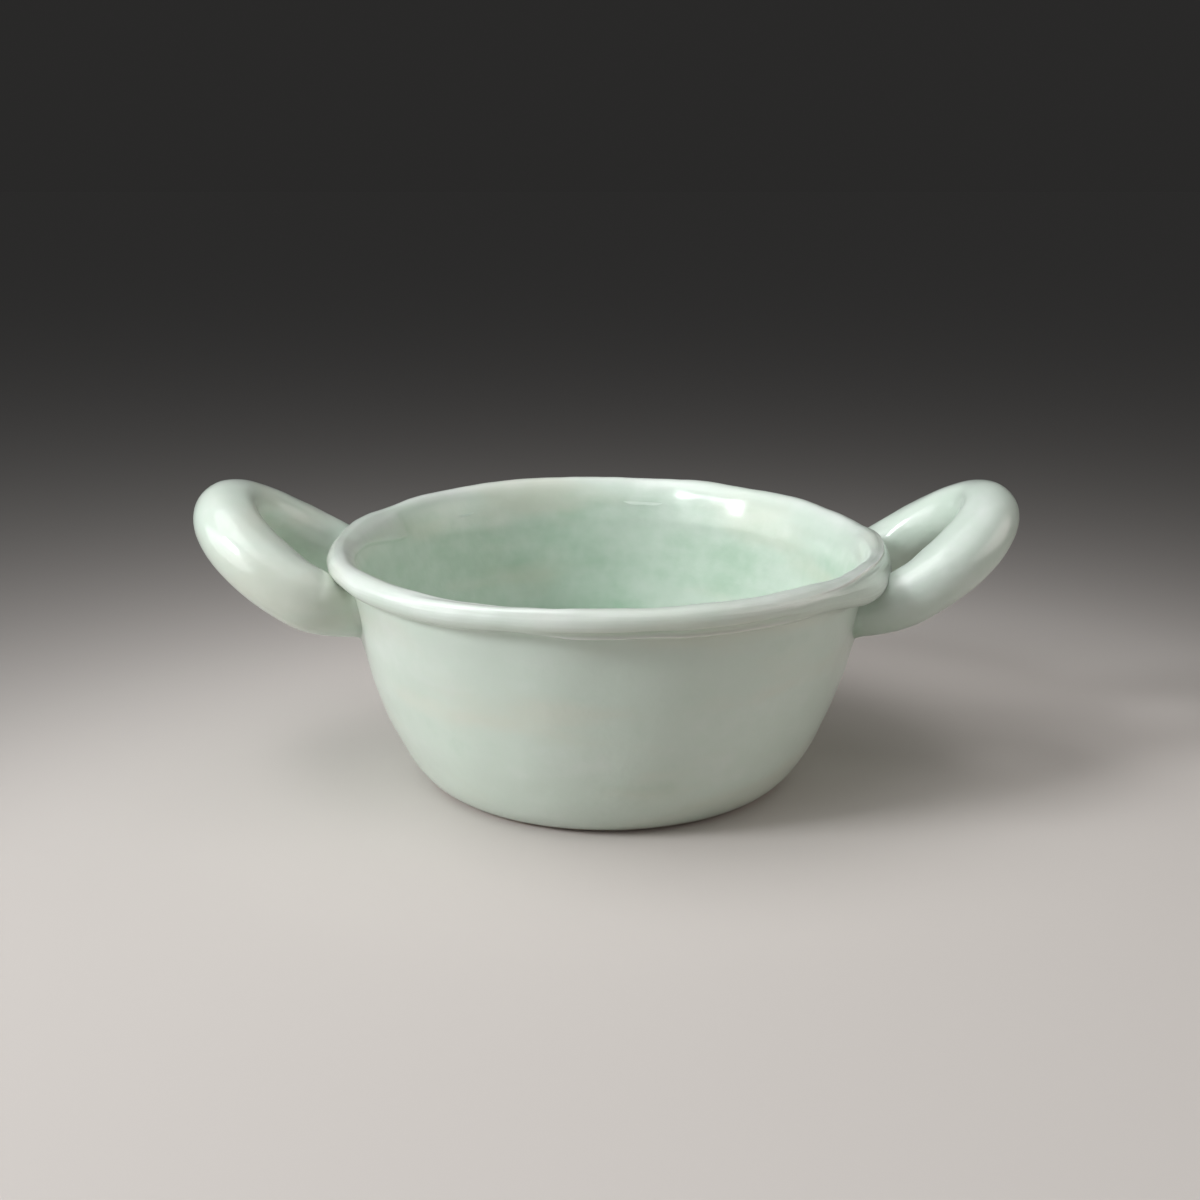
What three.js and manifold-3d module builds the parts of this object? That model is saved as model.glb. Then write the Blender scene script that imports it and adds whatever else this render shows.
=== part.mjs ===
// A hand-built glazed bowl with a rolled rim and two loop handles.
// Millimetres, +Z up. The origin is the middle of the resting face, +X runs from handle to handle
// and -Y is the front.

import * as THREE from 'three';
import { mergeVertices } from 'three/addons/utils/BufferGeometryUtils.js';
import Module from 'manifold-3d';

const wasm = await Module();
wasm.setup();

// Overall sizes
const OVERALL_WIDTH = 294;
const OVERALL_HEIGHT = 106;
const RIM_DIAMETER = 200;
const RIM_HEIGHT = 87;

// Floor and wall
const FOOT_DIAMETER = 125;
const FLOOR_THICKNESS = 8;
const FLOOR_JOINT_RISE = 1.2;
const WALL_THICKNESS = 6;
const HEEL_REACH = 9;
const INNER_HEEL_REACH = 14;
const BELLY_HEIGHT = 25.5;
const BELLY_SET_IN = 7.8;

// Rim coil, rolled over the lip of the wall
const ROLL_DIAMETER = 9.2;
const ROLL_OVERHANG = 6;
const ROLL_LAP = 2.8;
const ROLL_BLEND_ANGLE = THREE.MathUtils.degToRad(130);

// Handle coils: the left one came out a little thicker and wider than the right one
const LEFT_BEND_DIAMETER = 22.6;
const LEFT_LEG_SPREAD = 63;
const RIGHT_BEND_DIAMETER = 20.8;
const RIGHT_LEG_SPREAD = 60;
const ROOT_DIAMETER = 15.6;
const ROOT_SPREAD = 51;
const ROOT_DROP = 21.5;
const RISE_CURVE = 0.35;

// Clay worked in round each handle end: a small collar on the leg and a pad smeared down the wall
const COLLAR_REACH = 4;
const COLLAR_FLARE = 1.2;
const COLLAR_EDGE = 0.9;
const PAD_PROUD = 2.4;
const PAD_SUNK = 1;
const PAD_MARGIN = 3.5;
const PAD_TAIL = 12;

// Unevenness left by the hands
const RIM_SADDLE = 1;
const RIM_TILT = 0.4;
const OUT_OF_ROUND = 0.5;
const SADDLE_LOBES = 2;
const ROUND_LOBES = 3;
const UNEVEN_FADE = 25;

// Width of the slip joint between two pieces of clay
const JOINT_GAP = 0.3;

// Facets
const TURNS = 72;
const WALL_STEPS = 10;
const HEEL_STEPS = 5;
const ROLL_STEPS = 12;
const COIL_STEPS = 44;
const COIL_HALF_SIDES = 8;
const COLLAR_STEPS = 4;
const PAD_ROUNDS = 16;
const PAD_RINGS = 10;
const MERGE_DISTANCE = 0.001;
const HALVINGS = 40;

// Sizes that follow from the ones above
const rimRadius = RIM_DIAMETER / 2;
const rollRadius = ROLL_DIAMETER / 2;
const rollCentre = new THREE.Vector2(rimRadius - rollRadius, RIM_HEIGHT - rollRadius);
const footRadius = FOOT_DIAMETER / 2;
const lipRadius = rimRadius - ROLL_OVERHANG;
const lipHeight = RIM_HEIGHT - ROLL_DIAMETER + ROLL_LAP;
const floorJointHeight = FLOOR_THICKNESS + FLOOR_JOINT_RISE;
const rootSpread = ROOT_SPREAD / 2;
const rootHeight = RIM_HEIGHT - ROOT_DROP;

// The section of the bowl is two curves, its outside and its inside, from the foot to the lip
const outerCurve = new THREE.CubicBezierCurve(
  new THREE.Vector2(footRadius, 0),
  new THREE.Vector2(footRadius + HEEL_REACH, 0),
  new THREE.Vector2(lipRadius - BELLY_SET_IN, BELLY_HEIGHT),
  new THREE.Vector2(lipRadius, lipHeight),
);
const innerCurve = new THREE.CubicBezierCurve(
  new THREE.Vector2(footRadius - WALL_THICKNESS, FLOOR_THICKNESS),
  new THREE.Vector2(footRadius + INNER_HEEL_REACH - WALL_THICKNESS, FLOOR_THICKNESS),
  new THREE.Vector2(lipRadius - BELLY_SET_IN - WALL_THICKNESS, BELLY_HEIGHT + FLOOR_THICKNESS / 2),
  new THREE.Vector2(lipRadius - WALL_THICKNESS, lipHeight),
);

// Where a rising function of 0 to 1 reaches a value
function solve(rising, value) {
  let low = 0;
  let high = 1;
  for (let halving = 0; halving < HALVINGS; halving += 1) {
    const middle = (low + high) / 2;
    if (rising(middle) < value) {
      low = middle;
    } else {
      high = middle;
    }
  }
  return (low + high) / 2;
}

// Points of a section curve between two heights
function curveBetween(curve, bottom, top, steps) {
  const heightAt = (t) => curve.getPoint(t).y;
  const first = solve(heightAt, bottom);
  const last = solve(heightAt, top);
  const points = [];
  for (let step = 0; step <= steps; step += 1) {
    points.push(curve.getPoint(first + (last - first) * (step / steps)));
  }
  return points;
}

function outerRadiusAt(height) {
  return outerCurve.getPoint(solve((t) => outerCurve.getPoint(t).y, height)).x;
}

// A solid of revolution about Z from a section of (radius, height) points
function turned(section) {
  return new THREE.LatheGeometry(section, TURNS).rotateX(Math.PI / 2);
}

// The geometry with shared vertices and no collapsed triangles
function welded(geometry) {
  const bare = geometry.clone();
  bare.deleteAttribute('normal');
  bare.deleteAttribute('uv');
  const merged = mergeVertices(bare, MERGE_DISTANCE);
  const corners = merged.index.array;
  const kept = [];
  for (let corner = 0; corner < corners.length; corner += 3) {
    const [a, b, c] = corners.slice(corner, corner + 3);
    if (a !== b && b !== c && c !== a) {
      kept.push(a, b, c);
    }
  }
  merged.setIndex(kept);
  return merged;
}

function toSolid(geometry) {
  const closed = welded(geometry);
  const vertProperties = new Float32Array(closed.attributes.position.array);
  const triVerts = new Uint32Array(closed.index.array);
  return new wasm.Manifold(new wasm.Mesh({ numProp: 3, vertProperties, triVerts }));
}

function toGeometry(solid) {
  const mesh = solid.getMesh();
  const geometry = new THREE.BufferGeometry();
  geometry.setAttribute('position', new THREE.BufferAttribute(mesh.vertProperties, mesh.numProp));
  geometry.setIndex(new THREE.BufferAttribute(mesh.triVerts, 1));
  return geometry;
}

// The unevenness of a pot pinched and rolled by hand: it grows from the floor joint to the rim
// and dies away along the handles, so that the resting face stays flat and the joints stay closed.
function handShaped(geometry) {
  const shaped = welded(geometry);
  const position = shaped.attributes.position;
  for (let vertex = 0; vertex < position.count; vertex += 1) {
    const x = position.getX(vertex);
    const y = position.getY(vertex);
    const z = position.getZ(vertex);
    const radius = Math.hypot(x, y);
    const angle = Math.atan2(y, x);
    const rise = THREE.MathUtils.smoothstep(z, floorJointHeight + JOINT_GAP, RIM_HEIGHT);
    const reach = THREE.MathUtils.smoothstep(radius, rimRadius, rimRadius + UNEVEN_FADE);
    const share = rise * (1 - reach);
    const lift = share * (RIM_TILT * Math.sin(angle) - RIM_SADDLE * Math.cos(SADDLE_LOBES * angle));
    const push = share * OUT_OF_ROUND * Math.cos(ROUND_LOBES * angle);
    position.setXYZ(vertex, x + push * Math.cos(angle), y + push * Math.sin(angle), z + lift);
  }
  shaped.computeVertexNormals();
  return shaped;
}

// The slab that the bowl stands on, up to the level joint under the wall
function floorSlab() {
  return turned([
    new THREE.Vector2(0, 0),
    ...curveBetween(outerCurve, 0, floorJointHeight, HEEL_STEPS),
    ...curveBetween(innerCurve, FLOOR_THICKNESS, floorJointHeight, HEEL_STEPS).reverse(),
    new THREE.Vector2(0, FLOOR_THICKNESS),
  ]);
}

// The curved wall, from the slab to the lip under the rim coil
function bowlWall() {
  const bottom = floorJointHeight + JOINT_GAP;
  const outside = curveBetween(outerCurve, bottom, lipHeight, WALL_STEPS);
  const inside = curveBetween(innerCurve, bottom, lipHeight, WALL_STEPS).reverse();
  return turned([...outside, ...inside, outside[0]]);
}

// The rim coil: it sits on the lip, laps over its outside and runs on from the inside of the wall
function rimRoll() {
  const seat = lipHeight + JOINT_GAP;
  const inside = lipRadius - WALL_THICKNESS;
  const lap = lipRadius + JOINT_GAP;
  const lapAngle = -Math.acos((lap - rollCentre.x) / rollRadius);
  const blend = new THREE.Vector2(Math.cos(ROLL_BLEND_ANGLE), Math.sin(ROLL_BLEND_ANGLE));
  blend.multiplyScalar(rollRadius).add(rollCentre);
  const tangentRun = (blend.x - inside) / Math.sin(ROLL_BLEND_ANGLE);
  const shoulder = blend.y + tangentRun * Math.cos(ROLL_BLEND_ANGLE);
  const section = new THREE.Path();
  section.moveTo(lap, seat);
  section.lineTo(lap, rollCentre.y + rollRadius * Math.sin(lapAngle));
  section.absarc(rollCentre.x, rollCentre.y, rollRadius, lapAngle, ROLL_BLEND_ANGLE);
  section.quadraticCurveTo(inside, shoulder, inside, seat);
  section.closePath();
  return turned(section.getPoints(ROLL_STEPS / 2));
}

// The room that the bowl and its rim take up, a joint wider than they are
function bowlRoom() {
  const outside = outerCurve.getPoints(WALL_STEPS + HEEL_STEPS);
  for (const point of outside) {
    point.x += JOINT_GAP;
  }
  return toSolid(turned([new THREE.Vector2(0, 0), ...outside, new THREE.Vector2(0, lipHeight)]));
}

function rimRoom() {
  const ring = new THREE.Path();
  ring.absarc(rollCentre.x, rollCentre.y, rollRadius + JOINT_GAP, 0, 2 * Math.PI);
  return toSolid(turned(ring.getPoints(ROLL_STEPS)));
}

// The run of a handle coil: out from the wall at the front, round the bend and back into the wall
class HandleRun {
  constructor(side, bendDiameter, legSpread) {
    this.side = side;
    this.bendRadius = bendDiameter / 2;
    this.rootRadius = ROOT_DIAMETER / 2;
    const spread = legSpread / 2;
    const tip = OVERALL_WIDTH / 2 - this.bendRadius;
    this.wallReach = Math.sqrt(outerRadiusAt(rootHeight) ** 2 - rootSpread ** 2);
    this.shoulder = tip - spread;
    const rise = OVERALL_HEIGHT - this.bendRadius - rootHeight;
    const legSlope = (spread - rootSpread) / (this.shoulder - this.wallReach);
    const sunk = this.wallReach - ROOT_DIAMETER;
    const place = (reach, across) => {
      const share = (reach - this.wallReach) / (tip - this.wallReach);
      const climb = rise * share * (1 - RISE_CURVE + RISE_CURVE * share);
      return new THREE.Vector3(side * reach, across, rootHeight + climb);
    };
    const halfway = spread * Math.SQRT1_2;
    const plan = [
      [sunk, rootSpread - legSlope * ROOT_DIAMETER],
      [this.wallReach, rootSpread],
      [this.shoulder, spread],
      [this.shoulder + halfway, halfway],
    ];
    const front = plan.map(([reach, across]) => place(reach, -across));
    const back = plan.map(([reach, across]) => place(reach, across)).reverse();
    this.path = new THREE.CatmullRomCurve3([...front, place(tip, 0), ...back]);
  }

  // Half the thickness of the coil where its middle is at this point
  radiusAt(point) {
    const toWall = (this.shoulder - Math.abs(point.x)) / (this.shoulder - this.wallReach);
    return this.bendRadius + (this.rootRadius - this.bendRadius) * THREE.MathUtils.clamp(toWall, 0, 1);
  }

  // The stretch of one leg from inside the wall to the end of its collar
  rootStretch(end) {
    const halfRun = (t) => Math.abs(this.path.getPoint(t / 2).x);
    const last = solve(halfRun, this.wallReach + COLLAR_REACH) / 2;
    const stretch = new THREE.Curve();
    stretch.getPoint = (t, target) => this.path.getPoint(end === 'front' ? last * t : 1 - last * t, target);
    return stretch;
  }
}

// A coil of clay along a path, with half its thickness given at each point of its middle line
function coil(path, steps, halfSides, radiusAt) {
  const unit = new THREE.Shape();
  unit.absarc(0, 0, 1, 0, 2 * Math.PI);
  const extrusion = { steps, curveSegments: halfSides, extrudePath: path, bevelEnabled: false };
  const geometry = new THREE.ExtrudeGeometry(unit, extrusion);
  const middles = path.getSpacedPoints(steps);
  const position = geometry.attributes.position;
  const corner = new THREE.Vector3();
  for (let vertex = 0; vertex < position.count; vertex += 1) {
    corner.fromBufferAttribute(position, vertex);
    const distances = middles.map((middle) => middle.distanceToSquared(corner));
    const middle = middles[distances.indexOf(Math.min(...distances))];
    corner.sub(middle).multiplyScalar(radiusAt(middle)).add(middle);
    position.setXYZ(vertex, corner.x, corner.y, corner.z);
  }
  return toSolid(geometry);
}

const bowl = bowlRoom();
const rim = rimRoom();

function handle(run) {
  const body = coil(run.path, COIL_STEPS, COIL_HALF_SIDES, (point) => run.radiusAt(point));
  return toGeometry(body.subtract(bowl).subtract(rim));
}

// The collar of clay that thickens a handle leg where it meets the wall
function collar(run, end) {
  const thickness = (point) => {
    const away = (Math.abs(point.x) - run.wallReach) / COLLAR_REACH;
    return COLLAR_EDGE + COLLAR_FLARE * THREE.MathUtils.clamp(1 - away, 0, 1) ** 2;
  };
  const radius = (point) => run.radiusAt(point) + JOINT_GAP + thickness(point);
  return coil(run.rootStretch(end), COLLAR_STEPS, COIL_HALF_SIDES, radius);
}

// The pad of clay smeared over the wall round a handle end, with its tail drawn down the wall
function pad(run, end) {
  const top = rootHeight + run.rootRadius + PAD_MARGIN;
  const bottom = rootHeight - run.rootRadius - PAD_TAIL;
  const middle = (top + bottom) / 2;
  const lean = Math.atan2(outerRadiusAt(top) - outerRadiusAt(bottom), top - bottom);
  const across = end === 'front' ? -rootSpread : rootSpread;
  const mound = new THREE.SphereGeometry(1, PAD_ROUNDS, PAD_RINGS);
  mound.scale(PAD_PROUD + PAD_SUNK, run.rootRadius + PAD_MARGIN, (top - bottom) / 2);
  mound.rotateY(lean);
  mound.translate(outerRadiusAt(middle) - PAD_SUNK, 0, middle);
  mound.rotateZ(Math.atan2(across, run.side * run.wallReach));
  return toSolid(mound);
}

// The largest body of a cut solid, without the loose slivers that a cut can leave beside it
function largestBody(solid) {
  const bodies = solid.decompose();
  return bodies.reduce((largest, body) => (body.volume() > largest.volume() ? body : largest));
}

function weld(run, end) {
  const room = coil(run.path, COIL_STEPS, COIL_HALF_SIDES, (point) => run.radiusAt(point) + JOINT_GAP);
  const clay = collar(run, end).add(pad(run, end));
  return toGeometry(largestBody(clay.subtract(room).subtract(bowl).subtract(rim)));
}

const GLAZE = { roughness: 0.15, metalness: 0 };
const bodyGlaze = new THREE.MeshStandardMaterial({ color: 0xb4c0ad, ...GLAZE });
const rimGlaze = new THREE.MeshStandardMaterial({ color: 0xc6d0c1, ...GLAZE });
const handleGlaze = new THREE.MeshStandardMaterial({ color: 0xc0cabb, ...GLAZE });
const floorGlaze = new THREE.MeshStandardMaterial({ color: 0xa9b5a1, ...GLAZE });

const handledBowl = new THREE.Group();

function addPiece(name, geometry, material) {
  const mesh = new THREE.Mesh(handShaped(geometry), material.clone());
  mesh.name = name;
  handledBowl.add(mesh);
}

addPiece('floor_slab', floorSlab(), floorGlaze);
addPiece('bowl_wall', bowlWall(), bodyGlaze);
addPiece('rim_roll', rimRoll(), rimGlaze);

const handleRuns = {
  left: new HandleRun(-1, LEFT_BEND_DIAMETER, LEFT_LEG_SPREAD),
  right: new HandleRun(1, RIGHT_BEND_DIAMETER, RIGHT_LEG_SPREAD),
};
for (const [side, run] of Object.entries(handleRuns)) {
  addPiece(`${side}_handle`, handle(run), handleGlaze);
  for (const end of ['front', 'back']) {
    addPiece(`${side}_${end}_weld`, weld(run, end), handleGlaze);
  }
}

export default handledBowl;
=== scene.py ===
"""Looks of a hand-built celadon bowl with a rolled rim and two loop handles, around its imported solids."""
import bisect
import logging
import math
from collections.abc import Callable
from dataclasses import dataclass, field
from enum import Enum
from functools import cached_property

import bmesh
import bpy
from mathutils import Matrix, Vector, noise


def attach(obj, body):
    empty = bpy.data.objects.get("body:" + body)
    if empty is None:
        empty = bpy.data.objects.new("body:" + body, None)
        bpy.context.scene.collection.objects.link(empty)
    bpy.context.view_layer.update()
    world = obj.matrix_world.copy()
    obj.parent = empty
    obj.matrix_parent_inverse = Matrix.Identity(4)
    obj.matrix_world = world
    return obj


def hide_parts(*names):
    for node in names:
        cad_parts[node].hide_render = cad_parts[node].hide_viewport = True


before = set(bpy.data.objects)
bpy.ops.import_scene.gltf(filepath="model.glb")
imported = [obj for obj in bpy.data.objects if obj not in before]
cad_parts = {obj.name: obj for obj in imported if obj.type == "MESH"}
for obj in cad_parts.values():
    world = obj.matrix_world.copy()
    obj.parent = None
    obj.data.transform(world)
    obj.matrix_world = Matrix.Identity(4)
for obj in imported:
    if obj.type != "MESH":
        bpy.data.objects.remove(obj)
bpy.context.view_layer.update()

LOG = logging.getLogger("handled_bowl")
BODY = "root"
MM = 0.001
POOL = "glaze_pool"
FULL_TURN = 2.0 * math.pi
Z_AXIS = Vector((0.0, 0.0, 1.0))
WELD_DISTANCE = 0.0005


def smooth_step(value: float, low: float, high: float) -> float:
    """Eases from 0 at low to 1 at high.

    Args:
        value: The place between low and high.
        low: Where the step starts.
        high: Where the step ends.

    Returns:
        The eased share, from 0 to 1.
    """
    share = min(max((value - low) / (high - low), 0.0), 1.0)
    return share * share * (3.0 - 2.0 * share)


def bump_at(value: float, middle: float, width: float) -> float:
    """Gives a soft bump of height 1 round a middle, falling off over a width."""
    return math.exp(-((value - middle) / width) ** 2)


def angle_apart(first: float, second: float) -> float:
    """Gives the signed angle in degrees from the second direction to the first."""
    return (first - second + 180.0) % 360.0 - 180.0


def bezier(points: tuple[Vector, Vector, Vector, Vector], share: float) -> Vector:
    """Gives a point on a cubic curve.

    Args:
        points: The two ends and, between them, the two handles.
        share: The place along the curve, from 0 to 1.

    Returns:
        The point.
    """
    start, first, second, end = points
    rest = 1.0 - share
    return (start * rest ** 3 + first * (3.0 * rest * rest * share)
            + second * (3.0 * rest * share * share) + end * share ** 3)


def section_point(radius: float, height: float) -> Vector:
    """Places a point of a turned section in the plane of X and Z."""
    return Vector((radius, 0.0, height))


@dataclass(frozen=True)
class Span:
    """A stretch with two soft ends: it rises from start to full, and falls from fade to end."""

    start: float
    full: float
    fade: float
    end: float

    def share(self, value: float) -> float:
        """Gives how far a value lies in the stretch, from 0 to 1."""
        return smooth_step(value, self.start, self.full) * (1.0 - smooth_step(value, self.fade, self.end))


@dataclass(frozen=True)
class Ridge:
    """A soft ridge beside a line on a coil, or a groove where its height is below 0.

    The height is in mm, or in shares of the glaze's depth. The shift from the line and the
    width are in degrees round the coil.
    """

    height: float
    shift: float
    width: float

    def at(self, around: float, line: float) -> float:
        """Gives the ridge's height at a place round the coil."""
        return self.height * bump_at(around, line + self.shift, self.width)


@dataclass(frozen=True)
class HandWork:
    """The unevenness that hand building leaves in every piece, in mm.

    The first nine are the rim's own sway, which the solids share. The rest are
    finger dents, ripples and bands under the glaze.
    """

    saddle: float = 1.0
    tilt: float = 0.4
    out_of_round: float = 0.5
    saddle_lobes: float = 2.0
    round_lobes: float = 3.0
    fade_low: float = 9.5
    fade_high: float = 87.0
    handle_start: float = 100.0
    handle_end: float = 125.0
    dent_size: float = 27.0
    ripple_size: float = 8.5
    ripple_shift: tuple[float, float, float] = (7.3, 1.9, 4.1)
    wall_dent: float = 0.60
    wall_ripple: float = 0.10
    band_depth: float = 0.18
    band_rise: float = 11.0
    band_length: float = 60.0
    still_below: float = 2.0
    lively_above: float = 16.0

    def sway(self, point: Vector) -> Vector:
        """Moves a point of the even bowl to its place on the uneven one.

        Args:
            point: The point on the even bowl.

        Returns:
            The point, lifted and pushed as the rim sways.
        """
        reach = math.hypot(point.x, point.y)
        if reach == 0.0:
            return point.copy()
        share = smooth_step(point.z, self.fade_low, self.fade_high)
        share *= 1.0 - smooth_step(reach, self.handle_start, self.handle_end)
        turn = math.atan2(point.y, point.x)
        lift = share * (self.tilt * math.sin(turn) - self.saddle * math.cos(self.saddle_lobes * turn))
        push = share * self.out_of_round * math.cos(self.round_lobes * turn)
        grown = 1.0 + push / reach
        return Vector((point.x * grown, point.y * grown, point.z + lift))

    def dent(self, point: Vector, deep: float, fine: float) -> float:
        """Gives how far the clay stands out from its even form at a point.

        Args:
            point: The place on the piece.
            deep: The height of the broad finger dents.
            fine: The height of the small ripples.

        Returns:
            The distance along the surface's normal.
        """
        broad = noise.noise(point / self.dent_size)
        small = noise.noise(point / self.ripple_size + Vector(self.ripple_shift))
        return deep * broad + fine * small

    def wall_depth(self, point: Vector) -> float:
        """Gives how far the bowl's wall stands out from its even form at a point.

        Args:
            point: The place on the wall, or on what is pressed to it.

        Returns:
            The distance along the wall's normal.
        """
        drawn = Vector((point.x / self.band_length, point.y / self.band_length, point.z / self.band_rise))
        depth = self.dent(point, self.wall_dent, self.wall_ripple) + self.band_depth * noise.noise(drawn)
        return depth * smooth_step(point.z, self.still_below, self.lively_above)


@dataclass(frozen=True)
class WallFace:
    """One face of the bowl's wall: a curved section, from its foot to the lip, that is turned."""

    curve: tuple[Vector, Vector, Vector, Vector]
    samples: int = 600

    @cached_property
    def table(self) -> list[Vector]:
        """Gives points along the section."""
        return [self.point(step / self.samples) for step in range(self.samples + 1)]

    def point(self, share: float) -> Vector:
        """Gives the section point at a share of the way up."""
        return bezier(self.curve, share)

    def radius_at(self, height: float) -> float:
        """Finds the face's radius at a height.

        Args:
            height: The height above the table.

        Returns:
            The radius, going on straight above the lip.
        """
        place = bisect.bisect_left(self.table, height, key=lambda point: point.z)
        place = min(max(place, 1), self.samples)
        low, high = self.table[place - 1], self.table[place]
        return low.x + (high.x - low.x) * (height - low.z) / (high.z - low.z)

    def at(self, height: float, off: float = 0.0) -> Vector:
        """Gives the section point at a height, moved out by off."""
        return section_point(self.radius_at(height) + off, height)


@dataclass(frozen=True)
class BowlForm:
    """The even, turned form of the bowl that the other pieces sit on, in mm."""

    foot_radius: float = 62.5
    heel_reach: float = 9.0
    inner_heel_reach: float = 14.0
    belly_radius: float = 86.2
    belly_height: float = 25.5
    lip_radius: float = 94.0
    lip_height: float = 80.6
    wall: float = 6.0
    floor: float = 8.0
    inner_belly_rise: float = 4.0
    lean_out: float = 0.978
    lean_down: float = 0.207

    @cached_property
    def outside(self) -> WallFace:
        """Gives the wall's outer face.

        Returns:
            The face, from the foot to the lip.
        """
        return WallFace((section_point(self.foot_radius, 0.0),
                         section_point(self.foot_radius + self.heel_reach, 0.0),
                         section_point(self.belly_radius, self.belly_height),
                         section_point(self.lip_radius, self.lip_height)))

    @cached_property
    def inside(self) -> WallFace:
        """Gives the wall's inner face.

        Returns:
            The face, from the floor to the lip.
        """
        foot, belly = self.foot_radius - self.wall, self.belly_radius - self.wall
        return WallFace((section_point(foot, self.floor),
                         section_point(foot + self.inner_heel_reach, self.floor),
                         section_point(belly, self.belly_height + self.inner_belly_rise),
                         section_point(self.lip_radius - self.wall, self.lip_height)))

    def facing(self, point: Vector) -> Vector:
        """Gives the direction that the upper wall faces.

        Args:
            point: A place on the wall's outer or inner face.

        Returns:
            The direction out of the clay.
        """
        reach = math.hypot(point.x, point.y)
        sign = 1.0 if reach > self.outside.radius_at(point.z) - 0.5 * self.wall else -1.0
        face = Vector((point.x, point.y, 0.0)) / reach * (sign * self.lean_out)
        face.z = -sign * self.lean_down
        return face

    def clear_of_wall(self, point: Vector) -> float:
        """Gives how far a point stands out of the outer wall, measured level."""
        return math.hypot(point.x, point.y) - self.outside.radius_at(point.z)


@dataclass(frozen=True)
class GlazeDepth:
    """How deep the glaze lies on the shell and the rim, from 0, thin, to 1, pooled.

    It is thin on the coil's top, deep inside and at the inner floor, and gathers a little
    in the crease under the coil.
    """

    form: BowlForm
    even: float = 0.47
    inside: float = 0.22
    well: float = 0.24
    well_top: float = 45.0
    floor_edge: tuple[float, float] = (3.0, 7.0)
    face_blend: float = 2.0
    lip_edge: tuple[float, float] = (76.0, 86.5)
    lip_thin: float = 0.30
    crease: float = 0.16
    crease_height: float = 77.4
    crease_width: float = 2.0

    def at(self, point: Vector) -> float:
        """Gives the depth at a point.

        Args:
            point: The place on the even form.

        Returns:
            The depth, from 0, thin, to 1, pooled.
        """
        form = self.form
        reach = math.hypot(point.x, point.y)
        middle = form.outside.radius_at(max(point.z, form.floor)) - 0.5 * form.wall
        inner = 1.0 - smooth_step(reach, middle - self.face_blend, middle + self.face_blend)
        deep = self.inside + self.well * (1.0 - smooth_step(point.z, form.floor, self.well_top))
        pooled = inner * deep * smooth_step(point.z, *self.floor_edge)
        thin = smooth_step(point.z, *self.lip_edge) * self.lip_thin
        crease = (1.0 - inner) * bump_at(point.z, self.crease_height, self.crease_width) * self.crease
        return self.even + pooled - thin + crease


@dataclass(frozen=True)
class Grain:
    """A noise in a finish: its scale per metre, its detail and how much it counts."""

    scale: float
    detail: float
    weight: float = 1.0


Feed = bpy.types.NodeSocket | float | tuple[float, ...]


@dataclass(frozen=True)
class Wiring:
    """The nodes of a material or of the room, added and wired one after the other."""

    tree: bpy.types.NodeTree

    def feed(self, node: bpy.types.Node, feeds: dict[str | int, Feed]) -> None:
        """Feeds a node's inputs.

        Args:
            node: The node.
            feeds: What goes into each input: another node's output, or a value.
        """
        for name, given in feeds.items():
            if isinstance(given, bpy.types.NodeSocket):
                self.tree.links.new(given, node.inputs[name])
            else:
                node.inputs[name].default_value = given

    def add(self, kind: str, feeds: dict[str | int, Feed], **settings: str) -> bpy.types.NodeOutputs:
        """Adds a node.

        Args:
            kind: The node's type, without the word ShaderNode.
            feeds: What goes into its inputs.
            **settings: The node's own settings, such as its operation.

        Returns:
            The node's outputs.
        """
        node = self.tree.nodes.new(f"ShaderNode{kind}")
        for name, setting in settings.items():
            setattr(node, name, setting)
        self.feed(node, feeds)
        return node.outputs

    def texture(self, place: bpy.types.NodeSocket, grain: Grain) -> bpy.types.NodeSocket:
        """Gives the value of a noise on the given coordinates."""
        feeds = {"Scale": grain.scale, "Detail": grain.detail, "Vector": place}
        return self.add("TexNoise", feeds)["Fac"]

    def sway(self, place: bpy.types.NodeSocket, grain: Grain, middle: float = 0.0) -> bpy.types.NodeSocket:
        """Gives a noise of the grain's weight that sways round a middle."""
        value = self.texture(place, grain)
        return self.figure("MULTIPLY_ADD", value, grain.weight, middle - 0.5 * grain.weight)

    def figure(self, operation: str, *feeds: Feed) -> bpy.types.NodeSocket:
        """Gives the result of a Math node on outputs and numbers."""
        return self.add("Math", dict(enumerate(feeds)), operation=operation)["Value"]

    def eased(self, value: bpy.types.NodeSocket, low: float, high: float,
              top: float = 1.0) -> bpy.types.NodeSocket:
        """Eases a value from 0 at low to top at high."""
        feeds = {"Value": value, "From Min": low, "From Max": high, "To Max": top}
        return self.add("MapRange", feeds, interpolation_type="SMOOTHSTEP")["Result"]

    def blend(self, share: bpy.types.NodeSocket, first: Feed, second: Feed,
              kind: str = "RGBA") -> bpy.types.NodeSocket:
        """Blends from a first colour, or number, to a second by a share."""
        return self.add("Mix", {"Factor": share, "A": first, "B": second}, data_type=kind)["Result"]


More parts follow.
